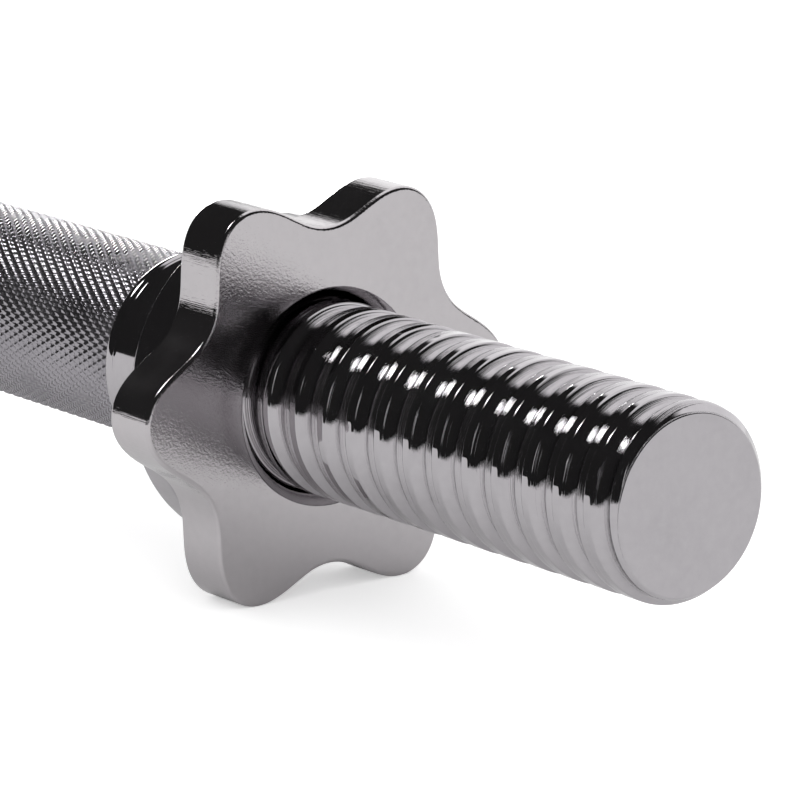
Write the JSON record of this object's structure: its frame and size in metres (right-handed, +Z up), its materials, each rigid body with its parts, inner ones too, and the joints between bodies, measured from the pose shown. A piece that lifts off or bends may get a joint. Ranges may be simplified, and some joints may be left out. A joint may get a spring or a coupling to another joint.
{
  "type": "adjustable dumbbell handle",
  "caption": "Chrome screw-lock dumbbell handle: knurled grip, pinned inner collars and star nuts that screw along its threaded ends.",
  "frame": {"origin": "middle of the bar, on its axis", "axes": "X runs along the bar, with the end called right at +X; +Z is up as it rests on two lobes of each star nut; Y is across"},
  "size_m": [0.35, 0.0578, 0.0516],
  "materials": {
    "chrome": "bright plated, fine turning and grinding marks",
    "pin_steel": "ground",
    "rubber": "matt"
  },
  "bodies": {
    "handle": {"bar": "chrome", "inner_collar_right": "chrome", "inner_collar_left": "chrome", "collar_pin_right": "pin_steel", "collar_pin_left": "pin_steel"},
    "gasket_right": {"nut_gasket_right": "rubber"},
    "nut_right": {"star_nut_right": "chrome"},
    "gasket_left": {"nut_gasket_left": "rubber"},
    "nut_left": {"star_nut_left": "chrome"}
  },
  "joints": [
    {"name": "nut_right_travel", "type": "slide", "parent": "handle", "child": "gasket_right", "axis": [1, 0, 0], "range_m": [0, 0.0678]},
    {"name": "nut_right_turn", "type": "hinge", "parent": "gasket_right", "child": "nut_right", "pos_m": [0.098, 0, 0], "axis": [1, 0, 0], "range_deg": [0, 4320]},
    {"name": "nut_left_travel", "type": "slide", "parent": "handle", "child": "gasket_left", "axis": [-1, 0, 0], "range_m": [0, 0.0678]},
    {"name": "nut_left_turn", "type": "hinge", "parent": "gasket_left", "child": "nut_left", "pos_m": [-0.098, 0, 0], "axis": [-1, 0, 0], "range_deg": [0, 4320]}
  ],
  "couplings": [
    {"joint": "nut_right_travel", "follows": "nut_right_turn", "m_per_rad": 0.00089923},
    {"joint": "nut_left_travel", "follows": "nut_left_turn", "m_per_rad": 0.00089923}
  ]
}
